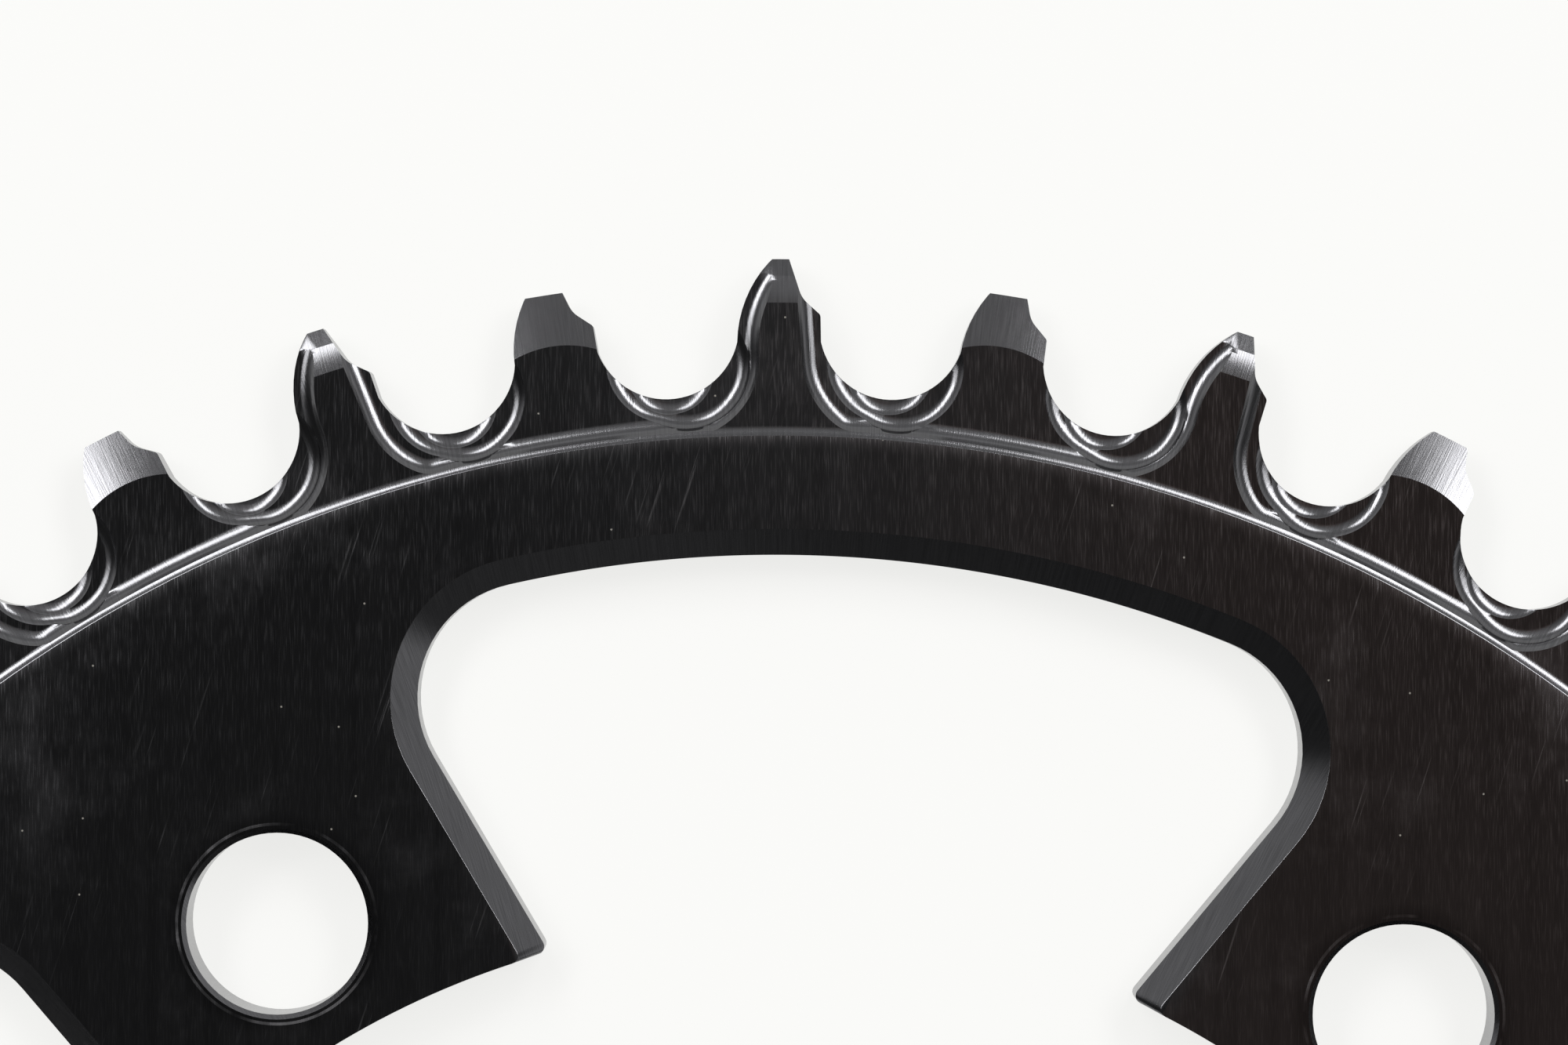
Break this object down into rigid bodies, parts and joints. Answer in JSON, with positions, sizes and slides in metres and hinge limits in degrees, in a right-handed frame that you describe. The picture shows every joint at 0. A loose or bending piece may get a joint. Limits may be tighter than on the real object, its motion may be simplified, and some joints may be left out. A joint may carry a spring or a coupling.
{
  "type": "bicycle chainring",
  "caption": "Flat milled chainring with alternating wide and narrow teeth round its rim, open in the middle, with bolt tabs that reach inwards to a rectangular hole pattern.",
  "frame": {"origin": "on the ring's axis, at its back face", "axes": "+Z along the ring's axis, from the back face to the front; +Y at the gap midway between two bolt holes, across the narrower pair of windows"},
  "size_m": [0.169, 0.169, 0.004],
  "materials": {
    "anodised_aluminium": "black anodised, brushed and milled"
  },
  "bodies": {
    "root": {"chainring": "anodised_aluminium"}
  },
  "joints": []
}
